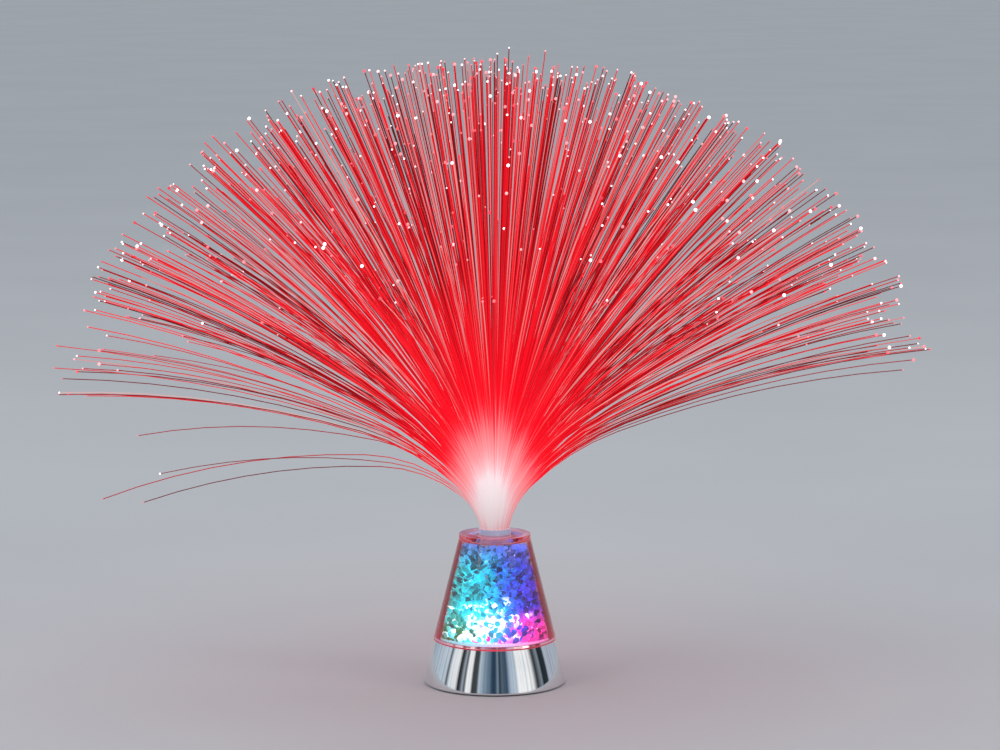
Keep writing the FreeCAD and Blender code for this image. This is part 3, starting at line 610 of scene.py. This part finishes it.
# Painted glow: the fibre ends' pink and white pattern is painted as base colour and as glow.
feed(shader, Base_Color=ends.outputs["Color"], Emission_Color=ends.outputs["Color"])
shader.inputs["Emission Strength"].default_value = 0.8
bundle.data.materials.append(potted_ends)
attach(bundle, "spray")
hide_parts("bundle_core")

# ---- Fibres ----
# Nearly twelve hundred clear acrylic fibres, 0.5 mm thick, that leave the collar side by side. They bow
# outwards under their own weight, most at the bundle's rim, and lie in locks; four have sagged.
# Light leaks out along each fibre and leaves at its cut tip.

fibre_radius, root_depth, mouth_level = 0.25, 6.0, 89.0
rim_start, inner_start = 7.7, 6.7
bend_lengths = (30.0, 65.0, 178.0)
bend_leans = (12.0, 45.0, 68.0, 84.0)
bend_pieces = (4, 4, 7)
stray_sag = (0.0, 7.0, 22.0, 28.0)
inner_locks, rim_locks, stray_count = 176, 24, 4
inner_lean, front_lean, upright_crowding = 0.93, 0.80, 0.62
lock_fibres, lock_spread, lock_lean, least_around = 5.0, 1.3, 70.0, 0.12
free_share, free_spread = 0.25, 3.5
fibre_shortening, lock_shortening, upright_shortening, upright_share = 0.06, 0.07, 0.03, 0.5
settled_sag, settled_focus = 0.55, 8
stray_relief, stray_shortening = 0.13, 0.12
golden_angle = math.pi * (3 - math.sqrt(5))
cut_step = math.sqrt(13)
box_margin, cut_back = 0.8, 0.005
spray_random = random.Random(5)


def fibre_course(azimuth, share, start, shorter, sag=0.0, lean_change=0.0):
    """Points along one fibre in mm. Its share is its lean against a rim fibre's, from 0 to 1."""
    sideways = share * (front_lean + (1 - front_lean) * math.cos(azimuth) ** 2)
    leans = [math.radians(lean * sideways + extra * sag + lean_change * step / 3)
             for step, (lean, extra) in enumerate(zip(bend_leans, stray_sag))]
    out, up = start, mouth_level
    course = [(out, up - root_depth), (out, up)]
    for length, from_lean, to_lean, pieces in zip(bend_lengths, leans, leans[1:], bend_pieces):
        step = length * (1.0 - shorter) / pieces
        for piece in range(pieces):
            lean = from_lean + (to_lean - from_lean) * (piece + 0.5) / pieces
            out += step * math.sin(lean)
            up += step * math.cos(lean)
            course.append((out, up))
    return [Vector((out * math.cos(azimuth), out * math.sin(azimuth), up)) for out, up in course]


def kept_in_box(azimuth, share, start, shorter, **rest):
    """The fibre's course, cut back until it lies inside the solids' box."""
    low, high = cad_low / mm, cad_high / mm
    while True:
        course = fibre_course(azimuth, share, start, shorter, **rest)
        if all(low[axis] + box_margin < point[axis] < high[axis] - box_margin
               for point in course for axis in range(3)):
            return course
        shorter += cut_back


def start_for(share):
    """Where in the bundle a fibre of this share starts, in mm from the middle."""
    if share > inner_lean:
        return inner_start + (rim_start - inner_start) * (share - inner_lean) / (1 - inner_lean)
    return inner_start * (share / inner_lean) ** (0.5 / upright_crowding)


def lock_of(azimuth, share, sag, count):
    """Fibres that lie round one of the lock's own, most of them close and some free of it."""
    around = max(least_around, math.sin(math.radians(lock_lean * share)))
    fibres = []
    for number in range(count):
        spread = lock_spread
        if spray_random.random() < free_share:
            spread = math.hypot(lock_spread, free_spread)
        turned = azimuth + math.radians(spray_random.gauss(0.0, spread)) / around
        leaning = share + spray_random.gauss(0.0, spread) / bend_leans[-1]
        if leaning < 0.0:
            leaning, turned = -leaning, turned + math.pi
        leaning = min(leaning, 1.0)
        shorter = lock_shortening * spray_random.random() ** 1.5
        shorter += upright_shortening * max(0.0, 1.0 - leaning / upright_share)
        fibres.append(kept_in_box(turned, leaning, start_for(leaning), shorter, sag=sag,
                                  lean_change=spray_random.gauss(0.0, 1.0)))
    return fibres


fibre_groups = ("core", "inner", "middle", "outer", "rim")
courses = {group: [] for group in fibre_groups}
for index in range(inner_locks):
    place = (index + 0.5) / inner_locks
    azimuth = index * golden_angle
    share = inner_lean * place ** upright_crowding
    shorter = fibre_shortening * (index * cut_step % 1.0)
    group = courses[fibre_groups[index * 4 // inner_locks]]
    group.append(kept_in_box(azimuth, share, inner_start * math.sqrt(place), shorter))
    count = int(lock_fibres * (0.5 + spray_random.random()) + 0.5)
    group += lock_of(azimuth, share, 0.0, count)
rim_step = 2 * math.pi / rim_locks
for index in range(rim_locks):
    azimuth = math.pi + index * rim_step
    shorter = fibre_shortening * (index * cut_step % 1.0)
    courses["rim"].append(kept_in_box(azimuth, 1.0, rim_start, shorter))
    settled = settled_sag * max(0.0, -math.cos(azimuth)) ** settled_focus * spray_random.random()
    count = int(lock_fibres * (0.4 + 0.6 * spray_random.random()) + 0.5)
    courses["rim"] += lock_of(azimuth, 1.0, settled, count)
for index in range(stray_count):
    side = 1 if index % 2 else -1
    azimuth = math.pi + side * (index // 2 + 0.5) * rim_step
    shorter = stray_shortening * (1 + index % 2)
    courses["rim"].append(kept_in_box(azimuth, 1.0, rim_start, shorter, sag=1.0 - stray_relief * index))


def draw_fibres(name, paths):
    """One piece of many fibres: thin tubes along their courses, with closed ends."""
    curve = bpy.data.curves.new(name, "CURVE")
    curve.dimensions = "3D"
    curve.bevel_depth = fibre_radius * mm
    curve.bevel_resolution = 0
    curve.use_fill_caps = True
    for path in paths:
        spline = curve.splines.new("POLY")
        spline.points.add(len(path) - 1)
        for point, place in zip(spline.points, path):
            point.co = (*(place * mm), 1.0)
    piece = bpy.data.objects.new(name, curve)
    bpy.context.scene.collection.objects.link(piece)
    select_only(piece)
    bpy.ops.object.convert(target="MESH")
    piece = bpy.context.object
    bpy.ops.object.shade_smooth_by_angle(angle=math.radians(100.0))
    return piece


flame_middle, flame_reach = (-2.0, 0.0, 108.0), (8.5, 50.0, 17.0)


def fibre_glow(name, tones):
    """Clear acrylic fibre, its light painted as glow: milky white in the neck, pink above, then reds that
    vary.
    """
    material, tree, shader = new_material(name, Roughness=0.35, IOR=1.49, Specular_IOR_Level=0.1)
    island = add(tree, "ShaderNodeNewGeometry")
    own = add(tree, "ShaderNodeValToRGB", links={"Fac": island.outputs["Random Per Island"]}, stops=tones)
    spot = add(tree, "ShaderNodeTexCoord")
    # Painted glow: a pale flame round a point above the neck, narrow across, long front to back, fixed by
    # place.
    squeeze = add(tree, "ShaderNodeMapping", {
        "Location": [-middle / reach for middle, reach in zip(flame_middle, flame_reach)],
        "Scale": [1 / (reach * mm) for reach in flame_reach],
    }, {"Vector": spot.outputs["Object"]})
    from_flame = add(tree, "ShaderNodeVectorMath", links={0: squeeze.outputs["Vector"]}, operation="LENGTH")
    streak = add(tree, "ShaderNodeMapRange", {"To Min": 1.15, "To Max": 0.85},
                 {"Value": island.outputs["Random Per Island"]})
    streaked = add(tree, "ShaderNodeMath",
                   links={0: from_flame.outputs["Value"], 1: streak.outputs["Result"]}, operation="MULTIPLY")
    reach = add(tree, "ShaderNodeMapRange", {"From Max": 4.0}, {"Value": streaked.outputs[0]})
    flame = add(tree, "ShaderNodeValToRGB", links={"Fac": reach.outputs["Result"]}, stops=[
        (0.00, "f2e6ea"), (0.22, "f2dce0"), (0.32, "f4bcc2"), (0.44, "f69aa0"), (0.55, "f7868c"),
        (0.66, "f86a72"), (0.77, "f83a4a"), (0.88, "f81828"), (1.00, "f80c20"),
    ])
    past_flame = add(tree, "ShaderNodeMapRange", {"From Min": 3.2, "From Max": 9.0},
                     {"Value": from_flame.outputs["Value"]})
    light = add(tree, "ShaderNodeMix", links={
        "Factor": past_flame.outputs["Result"], "A": flame.outputs["Color"], "B": own.outputs["Color"],
    }, data_type="RGBA")
    feed(shader, Emission_Color=light.outputs["Result"])
    axes = add(tree, "ShaderNodeSeparateXYZ", links={"Vector": spot.outputs["Object"]})
    # The painted glow is dimmer in the neck and full from 118 mm up.
    milky = add(tree, "ShaderNodeMapRange", {"From Min": 86 * mm, "From Max": 118 * mm, "To Min": 0.66},
                {"Value": axes.outputs["Z"]})
    feed(shader, Emission_Strength=milky.outputs["Result"])
    # The base colour is the glow colour, darkened to a near-black red.
    unlit = add(tree, "ShaderNodeMix", {"Factor": 0.9, "B": linear("140204")},
                {"A": light.outputs["Result"]}, data_type="RGBA")
    feed(shader, Base_Color=unlit.outputs["Result"])
    return material


red_fibre = fibre_glow("clear fibre lit red", [
    (0.0, "4a0309"), (0.18, "7c050e"), (0.28, "b40713"), (0.56, "e80b1b"), (0.87, "fb1c2a"),
    (0.94, "e8585c"), (1.0, "d8a6a4"),
])
pale_fibre = fibre_glow("clear fibre faintly lit", [
    (0.0, "5a060c"), (0.30, "8c0c16"), (0.70, "d82832"), (0.88, "dc6666"), (1.0, "dcb4b0"),
])
for group in fibre_groups:
    fibres = draw_fibres("fibre_spray_" + group, courses[group])
    fibres.data.materials.append(pale_fibre if group == "rim" else red_fibre)
    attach(fibres, "spray")
    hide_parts("fibres_" + group)

# ---- Fibre tips ----
# Each fibre ends in a small bead of melted acrylic, where a hot wire cut it to length.
# The bead throws out the light that the fibre carries, some far brighter than others.

bead_radius, bead_sizes = 0.5, (0.8, 0.9, 1.1, 1.3, 1.9)
bpy.ops.object.select_all(action="DESELECT")
bpy.ops.mesh.primitive_ico_sphere_add(subdivisions=1, radius=bead_radius * mm)
bead_pattern = bpy.context.object
bpy.ops.object.select_all(action="DESELECT")
for group in fibre_groups:
    for course in courses[group]:
        size = spray_random.choice(bead_sizes)
        place = Matrix.LocRotScale(course[-1] * mm, None, Vector((size, size, size)))
        bead = own_copy(bead_pattern, place)
        bead.select_set(True)
bpy.context.view_layer.objects.active = bead
bpy.ops.object.join()
tips = bpy.context.object
tips.name = "fibre_tips"
bpy.ops.object.shade_smooth_by_angle(angle=math.radians(100.0))
bpy.data.objects.remove(bead_pattern)
bright_tip, tree, shader = new_material("melted fibre tip", Roughness=0.1, IOR=1.49)
island = add(tree, "ShaderNodeNewGeometry")
tip_colour = add(tree, "ShaderNodeValToRGB", links={"Fac": island.outputs["Random Per Island"]},
                 stops=[(0.0, "c83040"), (0.3, "f06068"), (0.6, "ffa4a8"), (0.85, "ffdcde"),
                        (1.0, "ffffff")])
tip_strength = add(tree, "ShaderNodeMapRange", {"From Min": 0.5, "To Min": 1.0, "To Max": 3.0},
                   {"Value": island.outputs["Random Per Island"]})
feed(shader, Emission_Color=tip_colour.outputs["Color"], Base_Color=tip_colour.outputs["Color"],
     Emission_Strength=tip_strength.outputs["Result"])
tips.data.materials.clear()
tips.data.materials.append(bright_tip)
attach(tips, "spray")

# ---- Bottom plate ----
# Black ABS moulding that closes the base, with the cells' well and the switch's cradle on its inside.
# Its mould was spark eroded, which leaves a fine matt grain, drawn here at half a millimetre.


def rounded_copy(node, name, width):
    """A solid's own shape as one clean mesh, with its sharp edges rounded."""
    piece = bpy.data.objects.new(name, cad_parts[node].data.copy())
    piece.data.materials.clear()
    bpy.context.scene.collection.objects.link(piece)
    select_only(piece)
    bpy.ops.mesh.customdata_custom_splitnormals_clear()
    bpy.ops.object.mode_set(mode="EDIT")
    bpy.ops.mesh.select_all(action="SELECT")
    bpy.ops.mesh.remove_doubles(threshold=0.002 * mm)
    bpy.ops.mesh.dissolve_limited(angle_limit=math.radians(1.0))
    bpy.ops.object.mode_set(mode="OBJECT")
    soften(piece, width)
    return piece


def worn_plastic(name, dark, light, grain, relief, roughness):
    """Moulded plastic or rubber: two near shades, and a spark-eroded mould's grain."""
    material, tree, shader = new_material(name)
    grit = add(tree, "ShaderNodeTexNoise", {"Scale": 1.0, "Detail": 4.0}, {"Vector": place_in(tree, grain)})
    shade = add(tree, "ShaderNodeValToRGB", links={"Fac": grit.outputs["Fac"]},
                stops=[(0.3, dark), (0.7, light)])
    feed(shader, Base_Color=shade.outputs["Color"])
    dull = add(tree, "ShaderNodeMapRange", {"To Min": roughness - 0.08, "To Max": roughness + 0.08},
               {"Value": grit.outputs["Fac"]})
    feed(shader, Roughness=dull.outputs["Result"])
    bumps = add(tree, "ShaderNodeBump", {"Strength": 0.5, "Distance": relief * mm},
                {"Height": grit.outputs["Fac"]})
    feed(shader, Normal=bumps.outputs["Normal"])
    return material


black_abs = worn_plastic("spark textured black ABS", "1d1d1f", "2c2c2f", 0.5, 0.05, 0.55)
bottom_plate = rounded_copy("bottom_plate", "bottom_plate_abs", 0.15)
bottom_plate.data.materials.append(black_abs)
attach(bottom_plate, "base")
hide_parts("bottom_plate")

# ---- Battery door ----
# Black ABS door: two tongues hinge it in the plate's notches and a sprung latch shuts it.
# It has the plate's own grain, and four grooves beside the latch for a thumb.

battery_door = rounded_copy("battery_door", "battery_door_abs", 0.12)
battery_door.data.materials.append(black_abs)
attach(battery_door, "door")
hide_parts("battery_door")

# ---- Slide switch ----
# Bought-in switch, held in the plate's cradle: folded case of bright tin plate with two terminals.
# Its slider is moulded nylon, and the grooved handle shows in the plate's slot.


def bright_metal(name, dark, light, grain, roughness):
    """Plated metal with the faint lines that rolling and handling leave."""
    material, tree, shader = new_material(name, Metallic=1.0)
    lines = add(tree, "ShaderNodeTexNoise", {"Scale": 1.0, "Detail": 3.0}, {"Vector": place_in(tree, grain)})
    shade = add(tree, "ShaderNodeValToRGB", links={"Fac": lines.outputs["Fac"]},
                stops=[(0.3, dark), (0.7, light)])
    feed(shader, Base_Color=shade.outputs["Color"])
    sheen = add(tree, "ShaderNodeMapRange", {"To Min": roughness - 0.1, "To Max": roughness + 0.1},
                {"Value": lines.outputs["Fac"]})
    feed(shader, Roughness=sheen.outputs["Result"])
    return material


switch_body = rounded_copy("switch_body", "switch_case", 0.1)
switch_body.data.materials.append(bright_metal("bright tin plate", "b9bbbc", "d6d8d8", 1.5, 0.28))
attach(switch_body, "base")
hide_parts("switch_body")

switch_slider = rounded_copy("switch_slider", "switch_slider_nylon", 0.06)
switch_slider.data.materials.append(worn_plastic("moulded black nylon", "262628", "343437", 0.4, 0.02, 0.42))
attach(switch_slider, "slider")
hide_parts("switch_slider")

# ---- Plate screws ----
# Four self-tapping screws with a cross recess, which hold the plate to the shell's bosses.
# The steel is headed and rolled, then zinc plated to a dull grey.

head_foot, head_top, screw_end = 1.6, 2.8, 10.6
thread_core, thread_crest, thread_pitch, thread_turns = 0.9, 1.15, 0.6, 11
cross_length, cross_width, cross_depth = 2.7, 0.55, 1.1
rings = [(1.9, head_foot), (2.2, head_foot + 0.12), (2.3, head_foot + 0.4), (2.3, head_top),
         (thread_core, head_top)]
for turn_number in range(thread_turns):
    climb = turn_number * thread_pitch
    rings += [(thread_core, head_top + 0.2 + climb), (thread_crest, head_top + 0.45 + climb)]
rings += [(0.8, screw_end - 0.5), (0.2, screw_end)]
screw = raise_rings("screw", rings, 32)
for size in ((cross_length, cross_width), (cross_width, cross_length)):
    bpy.ops.object.select_all(action="DESELECT")
    bpy.ops.mesh.primitive_cube_add(
        size=mm, location=(0, 0, (head_foot + 0.25) * mm), scale=(*size, cross_depth))
    cut_with(screw, join([bpy.context.object], "bar"), "DIFFERENCE")
bpy.ops.object.shade_smooth_by_angle(angle=math.radians(30.0))


def copies_at(pattern, places, name):
    """The piece copied to each (x, y) place in mm, as one piece. The pattern is used up."""
    copies = [own_copy(pattern, Matrix.Translation((x * mm, y * mm, 0))) for x, y in places]
    bpy.data.objects.remove(pattern)
    merged = join(copies, name)
    merged.data.materials.clear()
    return merged


screws = copies_at(screw, screw_places, "plate_screws_steel")
screws.data.materials.append(bright_metal("zinc plated steel", "8e9092", "b4b6b6", 0.8, 0.32))
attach(screws, "base")
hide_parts("plate_screws")

# ---- Foot pads ----
# Four stick-on discs that the lamp stands on, punched out of matt black rubber sheet.
# Their lower edges are worn round.

pad = raise_rings("pad", [(2.6, 0.0), (2.9, 0.12), (3.0, 0.4), (3.0, 1.6)], 48)
soften(pad, 0.05)
pad_across, pad_along = 31.53, 11.47
pads = copies_at(pad, [(x * pad_across, y * pad_along) for x, y in corners], "foot_pads_rubber")
pads.data.materials.append(worn_plastic("matt black rubber", "17171a", "242427", 0.7, 0.04, 0.8))
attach(pads, "base")
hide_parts("foot_pads")

# ---- Batteries ----
# Three AAA cells side by side in the well, every second one turned round.
# Each is a drawn steel can with a raised nub, in a plain shrink sleeve.

cell_level, cell_pitch, cell_start = 8.75, 10.8, 22.25
cell = raise_rings("cell", [
    (4.7, 0.0), (5.05, 0.1), (5.25, 0.35), (5.25, 42.1), (5.05, 42.3), (4.95, 42.9), (4.5, 43.5),
    (1.9, 43.5), (1.9, 44.3), (1.65, 44.5),
], 64)
bpy.ops.object.shade_smooth_by_angle(angle=math.radians(35.0))


def cell_jacket(name, way):
    """Sleeve with a pale band at the nub's end, and bare steel at both ends."""
    material, tree, shader = new_material(name)
    spot = add(tree, "ShaderNodeTexCoord")
    axes = add(tree, "ShaderNodeSeparateXYZ", links={"Vector": spot.outputs["Object"]})
    half = way * cell_start * mm
    along = add(tree, "ShaderNodeMapRange", {"From Min": -half, "From Max": half},
                {"Value": axes.outputs["X"]})
    sleeve = add(tree, "ShaderNodeValToRGB", links={"Fac": along.outputs["Result"]}, stops=[
        (0.008, "b6b8ba"), (0.012, "35423c"), (0.760, "35423c"), (0.764, "c2c6c2"), (0.944, "c2c6c2"),
        (0.948, "b6b8ba"),
    ])
    feed(shader, Base_Color=sleeve.outputs["Color"])
    bare = add(tree, "ShaderNodeValToRGB", links={"Fac": along.outputs["Result"]}, stops=[
        (0.008, "ffffff"), (0.012, "000000"), (0.944, "000000"), (0.948, "ffffff"),
    ])
    feed(shader, Metallic=bare.outputs["Color"])
    scuffs = add(tree, "ShaderNodeTexNoise", {"Scale": 1.0, "Detail": 4.0}, {"Vector": place_in(tree, 2.0)})
    gloss = add(tree, "ShaderNodeMapRange", {"To Min": 0.18, "To Max": 0.42},
                {"Value": scuffs.outputs["Fac"]})
    feed(shader, Roughness=gloss.outputs["Result"])
    return material


jackets = {1: cell_jacket("cell sleeve", 1), -1: cell_jacket("cell sleeve turned", -1)}
for index in range(3):
    way = 1 if index % 2 == 0 else -1
    lie = Matrix.Rotation(way * math.pi / 2, 4, "Y")
    place = Matrix.Translation((-way * cell_start * mm, (1 - index) * cell_pitch * mm, cell_level * mm))
    one = own_copy(cell, place @ lie)
    one.name = "cell_%d" % (index + 1)
    one.data.materials.clear()
    one.data.materials.append(jackets[way])
    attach(one, "base")
    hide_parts("battery_%d" % (index + 1))
bpy.data.objects.remove(cell)

# ---- Battery contacts ----
# Stamped strips of nickel plated spring steel that slide in on the well's end walls.
# Each has a sprung bulge for every cell that it meets.

nickel_plate = bright_metal("nickel plated spring steel", "b8b6ae", "d4d2ca", 1.2, 0.22)
for place in ("left_single", "left_bridge", "right_single", "right_bridge"):
    contact = rounded_copy("contact_" + place, "contact_strip_" + place, 0.08)
    contact.data.materials.append(nickel_plate)
    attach(contact, "base")
    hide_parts("contact_" + place)

# ---- Leads ----
# Short insulated wires, soldered from the contacts to the switch and the board.
# Soft extruded PVC over stranded copper gives them a low, even sheen.


def refinish(node, material):
    """Give a solid that keeps its own shape a better material."""
    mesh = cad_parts[node].data
    mesh.materials.clear()
    mesh.materials.append(material)


red_pvc = worn_plastic("red PVC insulation", "8e120f", "a81a15", 1.5, 0.01, 0.38)
black_pvc = worn_plastic("black PVC insulation", "1a1a1b", "262627", 1.5, 0.01, 0.38)
refinish("battery_lead_red", red_pvc)
refinish("switch_lead", red_pvc)
refinish("battery_lead_black", black_pvc)

# ---- Light board ----
# Glass-fibre laminate, hooked into the shell's two arms, that carries the lights and the controller.
# Copper tracks show through its green solder mask as paler lines.

board_mask, tree, shader = new_material("green solder mask on laminate", Roughness=0.3)
tracks = add(tree, "ShaderNodeTexBrick", {
    "Scale": 1.0, "Mortar Size": 0.06, "Brick Width": 2.2, "Row Height": 0.9,
    "Color1": linear("0f5a30"), "Color2": linear("11643a"), "Mortar": linear("1f8450"),
}, {"Vector": place_in(tree, 3.0)})
feed(shader, Base_Color=tracks.outputs["Color"])
etched = add(tree, "ShaderNodeBump", {"Strength": 0.3, "Distance": 0.03 * mm},
             {"Height": tracks.outputs["Fac"]})
feed(shader, Normal=etched.outputs["Normal"])
refinish("light_board", board_mask)

# ---- Controller ----
# Small chip on the board's underside that fades the lights from colour to colour.
# Its body is moulded black epoxy with a fine matt grain.

controller = rounded_copy("controller", "controller_chip", 0.15)
controller.data.materials.append(worn_plastic("moulded black epoxy", "141416", "1f1f21", 0.3, 0.01, 0.6))
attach(controller, "base")
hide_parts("controller")

# ---- Lights ----
# Four surface-mounted lights on the board: one under the fibres, three under the chips.
# Each is a white moulded package with a round clear lens that glows in its own colour.


def lit_package(name, node, colour):
    """White package, lit inside the lens's circle."""
    material, tree, shader = new_material(name, Roughness=0.35)
    low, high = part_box(node)
    middle = (Vector(low) + Vector(high)) / 2
    spot = add(tree, "ShaderNodeTexCoord")
    centred = add(tree, "ShaderNodeMapping",
                  {"Location": (-middle.x, -middle.y, 0.0), "Scale": (1.0, 1.0, 0.0)},
                  {"Vector": spot.outputs["Object"]})
    out = add(tree, "ShaderNodeVectorMath", links={0: centred.outputs["Vector"]}, operation="LENGTH")
    lens = add(tree, "ShaderNodeMapRange", {"From Min": 2.0 * mm, "From Max": 1.7 * mm},
               {"Value": out.outputs["Value"]})
    package = add(tree, "ShaderNodeMix", {"A": linear("e8e8e2"), "B": linear(colour)},
                  {"Factor": lens.outputs["Result"]}, data_type="RGBA")
    feed(shader, Base_Color=package.outputs["Result"], Emission_Color=package.outputs["Result"])
    power = add(tree, "ShaderNodeMapRange", {"To Min": 0.1, "To Max": 4.0},
                {"Value": lens.outputs["Result"]})
    feed(shader, Emission_Strength=power.outputs["Result"])
    return material


for node, colour in (("led_fibre", "ff2a3a"), ("led_green", "20f080"), ("led_magenta", "ff20c0"),
                     ("led_blue", "3050ff")):
    refinish(node, lit_package("lit package " + node[4:], node, colour))
